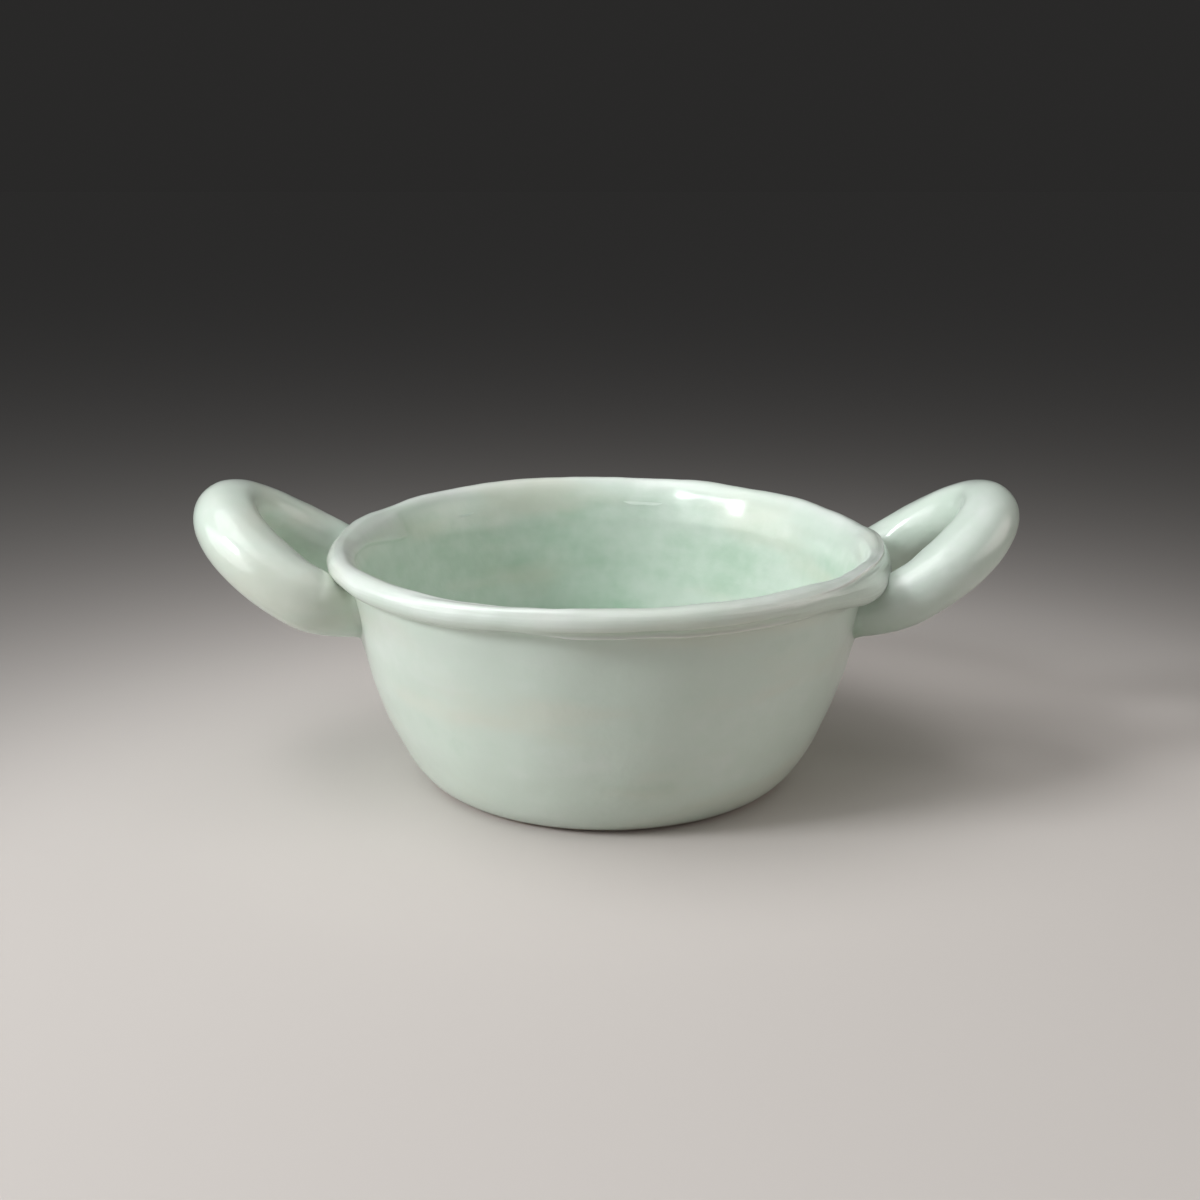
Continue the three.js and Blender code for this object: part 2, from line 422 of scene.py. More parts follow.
@dataclass(frozen=True)
class CeladonGlaze:
    """A glossy celadon glaze: paler where it thins, greener where it pools."""

    name: str
    broken: tuple[float, float, float] = (0.84, 0.85, 0.80)
    thin: tuple[float, float, float] = (0.705, 0.755, 0.71)
    even: tuple[float, float, float] = (0.60, 0.695, 0.612)
    pooled: tuple[float, float, float] = (0.40, 0.56, 0.43)
    thin_at: float = 0.20
    even_at: float = 0.60
    depth_gain: float = 0.80
    depth_start: float = 0.20
    buff: tuple[float, float, float] = (0.64, 0.645, 0.545)
    buff_share: float = 0.50
    buff_edge: tuple[float, float] = (0.50, 0.72)
    clay: tuple[float, float, float] = (0.50, 0.42, 0.33)
    clay_shade: float = 0.82
    clay_rough: float = 0.85
    bare_below: float = -1.0
    bare_edge: float = 0.0005
    gloss: float = 0.40
    ior: float = 1.5
    coat: float = 0.80
    coat_rough: float = 0.18
    coat_ior: float = 1.45
    soft: float = 0.12
    soft_radius: tuple[float, float, float] = (0.8, 1.0, 0.8)
    soft_scale: float = 0.003
    band_squeeze: float = 3.2
    cloud: Grain = Grain(36.0, 3.0, 0.46)
    mottle: Grain = Grain(170.0, 2.0, 0.24)
    bands: Grain = Grain(24.0, 3.0, 0.50)
    warmth: Grain = Grain(13.0, 3.0)
    polish: Grain = Grain(60.0, 2.0, 0.10)
    wander: Grain = Grain(90.0, 2.0, 0.0006)
    speckle: Grain = Grain(1200.0, 3.0)
    peel: Grain = Grain(260.0, 2.0, 0.14)
    peel_depth: float = 0.0008

    def make(self) -> bpy.types.Material:
        """Builds the node material of this glaze.

        Returns:
            The material.
        """
        material = bpy.data.materials.new(self.name)
        material.use_nodes = True
        material.node_tree.nodes.clear()
        wiring = Wiring(material.node_tree)
        place = wiring.add("TexCoord", {})["Object"]
        colour = self._tone(wiring, place)
        gloss = wiring.sway(place, self.polish, self.gloss)
        if self.bare_below >= 0.0:
            colour, gloss = self._bare_foot(wiring, place, colour, gloss)
        peel = {"Strength": self.peel.weight, "Distance": self.peel_depth,
                "Height": wiring.texture(place, self.peel)}
        shader = wiring.add("BsdfPrincipled", {
            "Base Color": colour,
            "Roughness": gloss,
            "IOR": self.ior,
            "Coat Weight": self.coat,
            "Coat Roughness": self.coat_rough,
            "Coat IOR": self.coat_ior,
            "Subsurface Weight": self.soft,
            "Subsurface Radius": self.soft_radius,
            "Subsurface Scale": self.soft_scale,
            "Normal": wiring.add("Bump", peel)["Normal"],
        })
        wiring.add("OutputMaterial", {"Surface": shader["BSDF"]})
        return material

    def _tone(self, wiring: Wiring, place: bpy.types.NodeSocket) -> bpy.types.NodeSocket:
        """Colours the glaze by its depth, with clouds, mottles, bands and warm patches.

        Args:
            wiring: The material's nodes.
            place: The Object coordinates.

        Returns:
            The glaze's colour.
        """
        level = wiring.add("Mapping", {"Scale": (1.0, 1.0, self.band_squeeze), "Vector": place})["Vector"]
        depth = wiring.add("Attribute", {}, attribute_name=POOL)["Fac"]
        for grain, where in ((self.cloud, place), (self.mottle, place), (self.bands, level)):
            depth = wiring.figure("ADD", depth, wiring.sway(where, grain))
        depth = wiring.figure("MULTIPLY_ADD", depth, self.depth_gain, self.depth_start)
        ramp = wiring.tree.nodes.new("ShaderNodeValToRGB")
        ramp.color_ramp.interpolation = "EASE"
        stops = ramp.color_ramp.elements
        stops[0].position, stops[0].color = 0.0, (*self.broken, 1.0)
        stops[1].position, stops[1].color = 1.0, (*self.pooled, 1.0)
        for position, tone in ((self.thin_at, self.thin), (self.even_at, self.even)):
            stop = stops.new(position)
            stop.color = (*tone, 1.0)
        wiring.feed(ramp, {"Fac": depth})
        warm = wiring.eased(wiring.texture(level, self.warmth), *self.buff_edge, self.buff_share)
        return wiring.blend(warm, ramp.outputs["Color"], (*self.buff, 1.0))

    def _bare_foot(self, wiring: Wiring, place: bpy.types.NodeSocket, colour: bpy.types.NodeSocket,
                   gloss: bpy.types.NodeSocket) -> tuple[bpy.types.NodeSocket, bpy.types.NodeSocket]:
        """Lets the bare clay show below the line where the glaze was wiped off.

        Args:
            wiring: The material's nodes.
            place: The Object coordinates.
            colour: The glaze's colour.
            gloss: The glaze's roughness.

        Returns:
            The colour and the roughness with the bare foot in them.
        """
        height = wiring.add("SeparateXYZ", {"Vector": place})["Z"]
        level = wiring.figure("SUBTRACT", height, wiring.sway(place, self.wander))
        glazed = wiring.eased(level, self.bare_below, self.bare_below + self.bare_edge)
        shade = (*[self.clay_shade * part for part in self.clay], 1.0)
        clay = wiring.blend(wiring.texture(place, self.speckle), shade, (*self.clay, 1.0))
        rough = wiring.blend(glazed, self.clay_rough, gloss, "FLOAT")
        return wiring.blend(glazed, clay, colour), rough


@dataclass
class Piece:
    """A finished piece of the bowl and the solids that it stands for."""

    name: str
    slot: str
    nodes: tuple[str, ...]
    finish: CeladonGlaze

    def settle(self, form: bmesh.types.BMesh) -> bpy.types.Object:
        """Turns a form in mm into an object in metres that rides on the bowl.

        Args:
            form: The bmesh, which is freed.

        Returns:
            The object, with its finish.
        """
        bmesh.ops.scale(form, vec=(MM, MM, MM), verts=form.verts)
        mesh = bpy.data.meshes.new(self.name)
        form.to_mesh(mesh)
        form.free()
        mesh.shade_smooth()
        mesh.materials.append(self.finish.make())
        thing = bpy.data.objects.new(self.name, mesh)
        bpy.context.scene.collection.objects.link(thing)
        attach(thing, BODY)
        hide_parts(*self.nodes)
        return thing


def close_up(form: bmesh.types.BMesh) -> None:
    """Merges the seams and poles of a turned form and turns its faces outwards."""
    bmesh.ops.remove_doubles(form, verts=form.verts, dist=WELD_DISTANCE)
    bmesh.ops.recalc_face_normals(form, faces=form.faces)


def turn_up(form: bmesh.types.BMesh, steps: int) -> None:
    """Spins everything in a form once round the bowl's axis and closes it."""
    bmesh.ops.spin(form, geom=form.verts[:] + form.edges[:], cent=(0.0, 0.0, 0.0), axis=Z_AXIS,
                   dvec=(0.0, 0.0, 0.0), angle=FULL_TURN, steps=steps, use_merge=True)
    close_up(form)


def chain(form: bmesh.types.BMesh, points: list[Vector]) -> None:
    """Draws a chain of edges by extruding one vertex from point to point.

    Args:
        form: The bmesh that takes the chain.
        points: The places that the chain goes through.
    """
    tip = bmesh.ops.create_vert(form, co=points[0])["vert"][0]
    for point in points[1:]:
        grown = bmesh.ops.extrude_vert_indiv(form, verts=[tip])
        tip = grown["verts"][0]
        tip.co = point


def work_over(form: bmesh.types.BMesh,
              worked: Callable[[bmesh.types.BMVert], tuple[Vector, float]]) -> None:
    """Moves every vertex of an even form to its worked place and notes how deep the glaze lies on it.

    Args:
        form: The even form.
        worked: Gives a vertex's worked place and the glaze's depth there.
    """
    pool = form.verts.layers.float.new(POOL)
    form.verts.index_update()
    form.normal_update()
    results = [worked(vert) for vert in form.verts]
    for vert, (place, depth) in zip(form.verts, results):
        vert.co, vert[pool] = place, depth


@dataclass
class BowlBody:
    """The floor and the wall as one glazed shell."""

    form: BowlForm
    hand: HandWork
    glaze: GlazeDepth
    piece: Piece
    wall_steps: int = 70
    floor_steps: int = 26
    turns: int = 360
    top: float = 70.0
    tongue_rise: float = 4.0
    tongue_inset: float = 1.8
    tongue_step: float = 0.2
    tongue_edge: float = 0.4
    crowding: float = 1.2
    seam: tuple[float, ...] = (66.2, 66.8, 67.4, 68.4, 69.4)
    seam_clear: float = 0.5
    blend_low: float = 52.0
    blend_high: float = 65.0

    def up_face(self, face: WallFace, sign: float) -> list[Vector]:
        """Gives the section's points up one face of the wall, and up the tongue inside the coil.

        Args:
            face: The face.
            sign: 1 for the outer face, -1 for the inner one.

        Returns:
            The points, from the foot up.
        """
        shares = [(step / self.wall_steps) ** self.crowding for step in range(self.wall_steps + 1)]
        clear = self.seam[0] - self.seam_clear
        points = [point for point in map(face.point, shares) if point.z < clear]
        points += [face.at(height) for height in (*self.seam, self.top)]
        points += [face.at(self.top + self.tongue_step, -sign * self.tongue_edge),
                   face.at(self.top + self.tongue_rise, -sign * self.tongue_inset)]
        return points

    def section(self) -> list[Vector]:
        """Lays out the shell's section.

        Returns:
            The points from the axis underneath, over the top, to the axis inside.
        """
        form = self.form
        under = [section_point(form.foot_radius * step / self.floor_steps, 0.0)
                 for step in range(self.floor_steps)]
        floor_radius = form.foot_radius - form.wall
        floor = [section_point(floor_radius * step / self.floor_steps, form.floor)
                 for step in range(self.floor_steps - 1, -1, -1)]
        return under + self.up_face(form.outside, 1.0) + self.up_face(form.inside, -1.0)[::-1] + floor

    def worked(self, vert: bmesh.types.BMVert) -> tuple[Vector, float]:
        """Works the hand's marks into the shell.

        Args:
            vert: A vertex of the even shell.

        Returns:
            Its worked place, and how deep the glaze lies there.
        """
        point, facing = vert.co, vert.normal
        if point.z > self.blend_low:
            share = smooth_step(point.z, self.blend_low, self.blend_high)
            facing = facing.lerp(self.form.facing(point), share)
        return self.hand.sway(point) + facing * self.hand.wall_depth(point), self.glaze.at(point)

    def build(self) -> bpy.types.Object:
        """Makes the shell.

        Returns:
            The finished object.
        """
        form = bmesh.new()
        chain(form, self.section())
        turn_up(form, self.turns)
        work_over(form, self.worked)
        return self.piece.settle(form)


@dataclass(frozen=True)
class CoilMark:
    """A mark that follows a line along the rim's coil.

    Turns are in degrees round the bowl. The line is in degrees round the coil, from outwards
    through up. Ridges shape the clay. Breaks change the glaze on it: paler on the line, partly
    glaze breaking thin over the edge and partly painted highlight, and darker beside it, partly
    pooled glaze and partly painted shade.
    """

    along: Span
    line_start: float
    line_rise: float
    line_turns: tuple[float, float]
    ridges: tuple[Ridge, ...]
    glaze_breaks_and_painted_light: tuple[Ridge, ...]

    def line(self, turn: float) -> float:
        """Gives where the mark runs on the coil at a turn."""
        return self.line_start + self.line_rise * smooth_step(turn, *self.line_turns)

    def height(self, turn: float, around: float) -> float:
        """Gives how far the mark's ridges stand out."""
        line = self.line(turn)
        return self.along.share(turn) * sum(ridge.at(around, line) for ridge in self.ridges)

    def thinning_and_painted_light(self, turn: float, around: float) -> float:
        """Gives how much thinner the glaze lies on the mark's line, partly a painted highlight, and how much
        deeper beside it, partly painted shade.
        """
        line = self.line(turn)
        return self.along.share(turn) * sum(ridge.at(around, line) for ridge in self.glaze_breaks_and_painted_light)


@dataclass(frozen=True)
class EndFold(CoilMark):
    """The fold along the top of the coil's right end, whose upper side laps over the lower."""

    along: Span = Span(-52.0, -34.0, 4.0, 14.0)
    line_start: float = 38.0
    line_rise: float = 20.0
    line_turns: tuple[float, float] = (-46.0, -26.0)
    ridges: tuple[Ridge, ...] = (Ridge(0.22, 4.0, 5.0), Ridge(-0.18, -9.0, 7.0))
    glaze_breaks_and_painted_light: tuple[Ridge, ...] = (Ridge(0.50, 2.0, 5.0), Ridge(-0.28, -24.0, 20.0))
    overlap: float = 0.52
    overlap_edge: float = 2.0
    overlap_fade: tuple[float, float] = (24.0, 70.0)

    def lapped(self, turn: float, around: float) -> float:
        """Gives how far the fold stands out, with its ridges.

        Args:
            turn: The place round the bowl, in degrees.
            around: The place round the coil, in degrees.

        Returns:
            The distance along the coil's normal.
        """
        line, (fade, end) = self.line(turn), self.overlap_fade
        over = Span(line - self.overlap_edge, line + self.overlap_edge, line + fade, line + end)
        return self.along.share(turn) * self.overlap * over.share(around) + self.height(turn, around)


@dataclass(frozen=True)
class FrontLap(CoilMark):
    """The fine lip low on the coil's front right, with the crease under it filled."""

    along: Span = Span(-106.0, -94.0, -60.0, -46.0)
    line_start: float = -66.0
    line_rise: float = 14.0
    line_turns: tuple[float, float] = (-85.0, -50.0)
    ridges: tuple[Ridge, ...] = (Ridge(0.75, 0.0, 3.2), Ridge(-0.62, 20.0, 13.0))
    glaze_breaks_and_painted_light: tuple[Ridge, ...] = (Ridge(0.75, 0.0, 4.0), Ridge(-0.30, 24.0, 14.0))
    fill: Ridge = Ridge(1.15, -20.0, 14.0)
    fill_heights: tuple[float, float] = (73.0, 76.5)

    def filled(self, turn: float, around: float, height: float) -> float:
        """Gives how far the lip stands out, with the clay that fills the crease."""
        fill = self.fill.at(around, self.line(turn)) * smooth_step(height, *self.fill_heights)
        return self.height(turn, around) + self.along.share(turn) * fill


@dataclass(frozen=True)
class ThumbMark:
    """The slanting swell that a thumb left on top of the coil's front left, pressed in behind."""

    along: Span = Span(-136.0, -122.0, -102.0, -86.0)
    line_start: float = 38.0
    line_turn: float = -128.0
    slant: float = 0.6
    swell: Ridge = Ridge(0.42, 0.0, 16.0)
    pressed: float = 0.66
    behind: tuple[float, float] = (12.0, 42.0)
    behind_fade: tuple[float, float] = (120.0, 168.0)

    def height(self, turn: float, around: float) -> float:
        """Gives how far the mark stands out.

        Args:
            turn: The place round the bowl, in degrees.
            around: The place round the coil, in degrees.

        Returns:
            The distance along the coil's normal.
        """
        line, (start, full) = self.line_start + self.slant * (turn - self.line_turn), self.behind
        behind = Span(line + start, line + full, *self.behind_fade)
        return self.along.share(turn) * (self.swell.at(around, line) - self.pressed * behind.share(around))


@dataclass(frozen=True)
class FingerStreaks:
    """The fine lines that smoothing fingers drew along the coil, clearest at its right end."""

    depth: float = 0.085
    faintest: float = 0.35
    along: Span = Span(-80.0, -50.0, 4.0, 24.0)
    crowding: float = 5.0
    spacing: float = 6.0

    def height(self, turn: float, around: float) -> float:
        """Gives how far the lines stand out.

        Args:
            turn: The place round the bowl, in degrees.
            around: The place round the coil, in degrees.

        Returns:
            The distance along the coil's normal.
        """
        share = self.faintest + (1.0 - self.faintest) * self.along.share(turn)
        way = math.radians(turn)
        place = Vector((math.cos(way) * self.crowding, math.sin(way) * self.crowding, around / self.spacing))
        return self.depth * share * noise.noise(place)


@dataclass(frozen=True)
class InnerPatch:
    """A patch of clay smoothed on inside the left of the rim.

    Each climb of its lower edge is a height in mm and the turns over which the edge climbs it.
    """

    rise: float = 0.55
    thin: float = 0.24
    start: float = 152.0
    along: Span = Span(-0.9, 0.9, 36.0, 52.0)
    low: float = 75.9
    climbs: tuple[tuple[float, float, float], ...] = ((5.2, 0.0, 26.0), (2.0, 24.0, 42.0))
    edge: float = 0.40
    inner_reach: tuple[float, float] = (91.0, 93.5)

    def share(self, turn: float, height: float, reach: float) -> float:
        """Gives how far a place lies on the patch.

        Args:
            turn: The place round the bowl, in degrees.
            height: Its height.
            reach: Its distance from the axis.

        Returns:
            The share, from 0, off the patch, to 1, on it.
        """
        along = angle_apart(turn, self.start)
        line = self.low + sum(rise * smooth_step(along, start, end) for rise, start, end in self.climbs)
        inner = 1.0 - smooth_step(reach, *self.inner_reach)
        return self.along.share(along) * inner * smooth_step(height, line - self.edge, line + self.edge)


@dataclass(frozen=True)
class EndSag:
    """The sag of the outer face of the coil's right end over the wall."""

    deep: float = 3.0
    out: float = 0.40
    down: float = 0.92
    along: Span = Span(-46.0, -27.0, -8.0, 14.0)
    heights: Span = Span(73.0, 78.2, 80.5, 86.5)
    outer_reach: tuple[float, float] = (88.5, 92.0)

    def move(self, point: Vector, turn: float, reach: float) -> Vector:
        """Gives how far a place sags.

        Args:
            point: The place on the even coil.
            turn: Its direction from the axis, in degrees.
            reach: Its distance from the axis.

        Returns:
            The move, down and outwards.
        """
        share = self.along.share(turn) * self.heights.share(point.z) * smooth_step(reach, *self.outer_reach)
        outward = Vector((point.x, point.y, 0.0)) / reach
        return (outward * self.out - Z_AXIS * self.down) * (share * self.deep)


@dataclass
class RimCoil:
    """The coil rolled over the lip, with its feathered edges on both faces of the wall.

    Each arc of the coil is its first angle and its stride, in degrees, and its count of points.
    """

    form: BowlForm
    hand: HandWork
    glaze: GlazeDepth
    piece: Piece
    middle: Vector = field(default_factory=lambda: section_point(95.4, 82.4))
    radius: float = 4.6
    arcs: tuple[tuple[float, float, int], ...] = ((-80.0, 1.5, 24), (-44.0, 2.0, 71))
    skirt: tuple[tuple[float, float], ...] = (
        (70.0, 0.013), (69.4, 0.006), (68.4, -0.001), (67.4, -0.010), (66.8, -0.04), (66.2, -0.12))
    skim: float = 0.02
    foot_height: float = 71.4
    foot_stride: float = 0.6
    foot_steps: int = 8
    crease_height: float = 77.4
    crease_off: float = 0.1
    crease_pull: float = 0.67
    crease_steps: int = 10
    lip_way: tuple[float, float] = (-3.978, -0.418)
    inner_way: tuple[float, float] = (1.035, 4.89)
    lip_steps: int = 40
    core_rise: float = 0.8
    core_skin: float = 1.0
    core_height: float = 77.5
    core_inset: float = 1.4
    turns: int = 360
    dent_deep: float = 1.00
    ripple: float = 0.22
    dent_heights: tuple[float, float] = (72.5, 83.0)
    streak_heights: tuple[float, float] = (75.5, 79.0)
    facing_heights: tuple[float, float] = (72.5, 76.0)
    fold: EndFold = EndFold()
    lap: FrontLap = FrontLap()
    thumb: ThumbMark = ThumbMark()
    streaks: FingerStreaks = FingerStreaks()
    patch: InnerPatch = InnerPatch()
    sag: EndSag = EndSag()

    def on_coil(self, degrees: float) -> Vector:
        """Gives the point of the round coil at an angle, from outwards through up."""
        turn = math.radians(degrees)
        return self.middle + section_point(math.cos(turn), math.sin(turn)) * self.radius

    def section(self) -> list[Vector]:
        """Lays out the coil's section.

        Returns:
            The points of the closed section: outer skirt, coil, inner face, and back inside the wall.
        """
        form = self.form
        points = [form.outside.at(height, off) for height, off in reversed(self.skirt)]
        points += [form.outside.at(self.foot_height + self.foot_stride * step, self.skim)
                   for step in range(self.foot_steps)]
        start, end = points[-1], self.on_coil(self.arcs[0][0])
        crease = form.outside.at(self.crease_height, self.crease_off)
        bend = (start, start.lerp(crease, self.crease_pull), end.lerp(crease, self.crease_pull), end)
        points += [bezier(bend, step / self.crease_steps) for step in range(1, self.crease_steps)]
        for first, stride, count in self.arcs:
            points += [self.on_coil(first + stride * step) for step in range(count)]
        lip, foot = points[-1], form.inside.at(self.foot_height, -self.skim)
        face = (lip, lip + section_point(*self.lip_way), foot + section_point(*self.inner_way), foot)
        points += [bezier(face, step / self.lip_steps) for step in range(1, self.lip_steps + 1)]
        points += [form.inside.at(height, -off) for height, off in self.skirt]
        low = self.skirt[-1][0] + self.core_rise
        points += [form.inside.at(low, self.core_skin), form.inside.at(self.core_height, self.core_inset)]
        points += [form.outside.at(self.core_height, -self.core_inset), form.outside.at(low, -self.core_skin)]
        return points

    def polar(self, point: Vector) -> tuple[float, float, float]:
        """Finds a place round the bowl and round the coil.

        Args:
            point: The place on the even coil.

        Returns:
            Its reach from the axis, and its angles round the bowl and round the coil in degrees.
        """
        reach = math.hypot(point.x, point.y)
        around = math.atan2(point.z - self.middle.z, reach - self.middle.x)
        return reach, math.degrees(math.atan2(point.y, point.x)), math.degrees(around)

    def worked(self, vert: bmesh.types.BMVert) -> tuple[Vector, float]:
        """Works the hand's marks, the fold, the lap and the patch into the coil, and lets it sag.

        Args:
            vert: A vertex of the even coil.

        Returns:
            Its worked place, and how deep the glaze lies there.
        """
        point = vert.co
        reach, turn, around = self.polar(point)
        wall = self.hand.wall_depth(point)
        coil = self.hand.dent(point, self.dent_deep, self.ripple)
        patch = self.patch.share(turn, point.z, reach)
        out = wall + (coil - wall) * smooth_step(point.z, *self.dent_heights)
        out += self.fold.lapped(turn, around) + self.lap.filled(turn, around, point.z)
        out += self.streaks.height(turn, around) * smooth_step(point.z, *self.streak_heights)
        out += self.thumb.height(turn, around) + self.patch.rise * patch
        upper = smooth_step(point.z, *self.facing_heights)
        facing = self.form.facing(point).lerp(vert.normal, upper).normalized()
        # The breaks make the glaze paler on the fold and lap lines, partly a painted highlight, and darker
        # beside them, partly painted shade.
        broken = self.lap.thinning_and_painted_light(turn, around) + self.fold.thinning_and_painted_light(turn, around)
        place = self.hand.sway(point) + facing * out + self.sag.move(point, turn, reach)
        return place, self.glaze.at(point) - (broken + self.patch.thin * patch)

    def build(self) -> bpy.types.Object:
        """Makes the coil.

        Returns:
            The finished object.
        """
        form = bmesh.new()
        chain(form, self.section())
        form.verts.ensure_lookup_table()
        bmesh.ops.contextual_create(form, geom=[form.verts[0], form.verts[-1]])
        turn_up(form, self.turns)
        work_over(form, self.worked)
        return self.piece.settle(form)


class Side(Enum):
    """The side of the bowl that a handle is on, as a direction along X."""

    LEFT = -1
    RIGHT = 1


class End(Enum):
    """The end of a handle that a weld is on, as a direction along Y."""

    FRONT = -1
    BACK = 1


@dataclass
class LoopHandle:
    """A thick coil of clay bent into a loop, both ends pressed to the wall under the rim."""

    side: Side
    form: BowlForm
    hand: HandWork
    piece: Piece
    bend_radius: float
    leg_spread: float
    inner_pool_and_painted_shade: float
    flat_top: float = 1.1
    flat_middle: float = 48.0
    flat_width: float = 24.0
    reach: float = 147.0
    height: float = 106.0
    root_radius: float = 7.8
    root_spread: float = 51.0
    root_height: float = 65.5
    rise_straight: float = 0.65
    foot_spread: float = 1.5
    foot_rise: float = 3.2
    foot_ease: float = 0.6
    foot_sides: tuple[float, float] = (0.2, 0.9)
    sunk: float = 6.0
    deepest: float = -3.0
    follow: float = 9.0
    sides: int = 56
    leg_steps: int = 6
    root_steps: int = 44
    root_zone: float = 14.0
    bend_steps: int = 84
    dent_deep: float = 0.34
    ripple: float = 0.12
    even_pool: float = 0.42
    top_thin: float = 0.12
    root_pool: float = 0.30
    root_pool_and_shade_reach: float = 5.0
    inner_shade_edge: tuple[float, float] = (0.1, 0.9)
    shade_upper_edge: tuple[float, float] = (-0.2, 0.5)

    def __post_init__(self) -> None:
        """Works out the places that the run goes through."""
        self.half = 0.5 * self.leg_spread
        self.tip = self.reach - self.bend_radius
        self.shoulder = self.tip - self.half
        across = 0.5 * self.root_spread
        wall = self.form.outside.at(self.root_height).x
        self.wall_reach = math.sqrt(wall * wall - across * across)

    def height_at(self, reach: float) -> float:
        """Gives the height of the run's middle.

        Args:
            reach: The distance from the axis.

        Returns:
            The height, which rises on a curve from the root to the bend.
        """
        share = (reach - self.wall_reach) / (self.tip - self.wall_reach)
        rise = self.height - self.bend_radius - self.root_height
        return self.root_height + rise * share * (self.rise_straight + (1.0 - self.rise_straight) * share)

    def leg_point(self, reach: float) -> Vector:
        """Gives the middle of the front leg.

        Args:
            reach: The distance from the axis.

        Returns:
            The point, on a line that eases from the root's spread to the bend's.
        """
        share = (reach - self.wall_reach) / (self.shoulder - self.wall_reach)
        eased = share * (2.0 - share) if share > 0.0 else 2.0 * share
        across = 0.5 * self.root_spread + (self.half - 0.5 * self.root_spread) * eased
        return Vector((self.side.value * reach, -across, self.height_at(reach)))

    @cached_property
    def run(self) -> list[tuple[Vector, float]]:
        """Lays out the loop's middle line.

        Returns:
            The points from the front root to the back root, each with the coil's radius.
        """
        start = self.wall_reach - self.sunk
        near = self.wall_reach + self.root_zone
        reaches = [start + (near - start) * step / self.root_steps for step in range(self.root_steps)]
        reaches += [near + (self.shoulder - near) * step / self.leg_steps for step in range(self.leg_steps)]
        front = []
        for reach in reaches:
            share = smooth_step(reach, self.wall_reach - self.sunk, self.shoulder)
            radius = self.root_radius + (self.bend_radius - self.root_radius) * share
            front.append((self.leg_point(reach), radius))
        bend = []
        for step in range(self.bend_steps + 1):
            turn = math.pi * (step / self.bend_steps - 0.5)
            reach = self.shoulder + self.half * math.cos(turn)
            middle = Vector((self.side.value * reach, self.half * math.sin(turn), self.height_at(reach)))
            bend.append((middle, self.bend_radius))
        back = [(Vector((point.x, -point.y, point.z)), radius) for point, radius in reversed(front)]
        return front + bend + back

    def sweep(self) -> bmesh.types.BMesh:
        """Extrudes a ring along the run.

        Returns:
            The coil, with its vertices ring by ring in the run's order.
        """
        form, run = bmesh.new(), self.run
        places = []
        for index, (point, radius) in enumerate(run):
            before, after = run[max(index - 1, 0)][0], run[min(index + 1, len(run) - 1)][0]
            along = (after - before).normalized()
            level = along.cross(Z_AXIS).normalized()
            lift = level.cross(along)
            turned = Matrix((level, lift, along)).transposed().to_4x4()
            places.append(Matrix.Translation(point) @ turned @ Matrix.Diagonal((radius, radius, radius, 1.0)))
        circle = bmesh.ops.create_circle(
            form, cap_ends=False, segments=self.sides, radius=1.0, matrix=places[0])
        edges = list({edge for vert in circle["verts"] for edge in vert.link_edges})
        first = edges
        for before, after in zip(places, places[1:]):
            grown = bmesh.ops.extrude_edge_only(form, edges=edges)["geom"]
            ring = [item for item in grown if isinstance(item, bmesh.types.BMVert)]
            edges = [item for item in grown if isinstance(item, bmesh.types.BMEdge)
                     and item.verts[0] in set(ring) and item.verts[1] in set(ring)]
            bmesh.ops.transform(form, matrix=after @ before.inverted(), verts=ring)
        bmesh.ops.holes_fill(form, edges=first + edges, sides=0)
        bmesh.ops.recalc_face_normals(form, faces=form.faces)
        return form

    def pressed(self, place: Vector) -> Vector:
        """Seats a place near the wall on the hand-worked wall, and keeps it from coming out inside.

        Args:
            place: The place on the flared coil.

        Returns:
            The place, moved along the wall's normal.
        """
        clear = self.form.clear_of_wall(place)
        outward = Vector((place.x, place.y, 0.0)).normalized()
        share = 1.0 - smooth_step(clear, 0.0, self.follow)
        return place + outward * (max(self.deepest - clear, 0.0) + share * self.hand.wall_depth(place))

    def flare(self, point: Vector, outward: Vector) -> float:
        """Gives how far the coil's foot spreads where it was pressed to the wall.

        Args:
            point: The place on the even coil.
            outward: The coil's normal there.

        Returns:
            The distance that the clay is pushed out along the wall.
        """
        spread = self.foot_spread * (1.0 - self.foot_ease * smooth_step(abs(outward.z), *self.foot_sides))
        share = 1.0 - min(max(self.form.clear_of_wall(point) / self.foot_rise, 0.0), 1.0)
        return spread * share * share

    def inward(self, middle: Vector, outward: Vector) -> float:
        """Gives how far a normal faces the inside of the loop.

        Args:
            middle: The place on the loop's middle line.
            outward: The coil's normal there.

        Returns:
            The share, from -1, away from the inside, to 1, towards it.
        """
        towards = Vector((self.side.value * min(self.shoulder, abs(middle.x)), 0.0, middle.z)) - middle
        return outward.dot(towards.normalized())

    def shoulder_fill(self, outward: Vector, inward: float, clear: float) -> float:
        """Gives how far the clay stands out between the coil's top and inner side, to flatten the top.

        Args:
            outward: The coil's normal.
            inward: How far it faces the inside of the loop.
            clear: How far the place is from the wall.

        Returns:
            The distance along the normal.
        """
        lean = math.degrees(math.atan2(inward, outward.z))
        share = smooth_step(clear, self.follow, 2.0 * self.follow)
        return self.flat_top * bump_at(lean, self.flat_middle, self.flat_width) * share

    def glaze_depth(self, outward: Vector, inward: float, clear: float) -> float:
        """Gives how deep the glaze lies: thin on top, deeper at the roots and on the loop's lower inner side,
        partly pooled glaze and partly painted shade.

        Args:
            outward: The coil's normal.
            inward: How far it faces the inside of the loop.
            clear: How far the place is from the wall.

        Returns:
            The depth, from 0, thin, to 1, pooled.
        """
        depth = self.even_pool - self.top_thin * outward.z
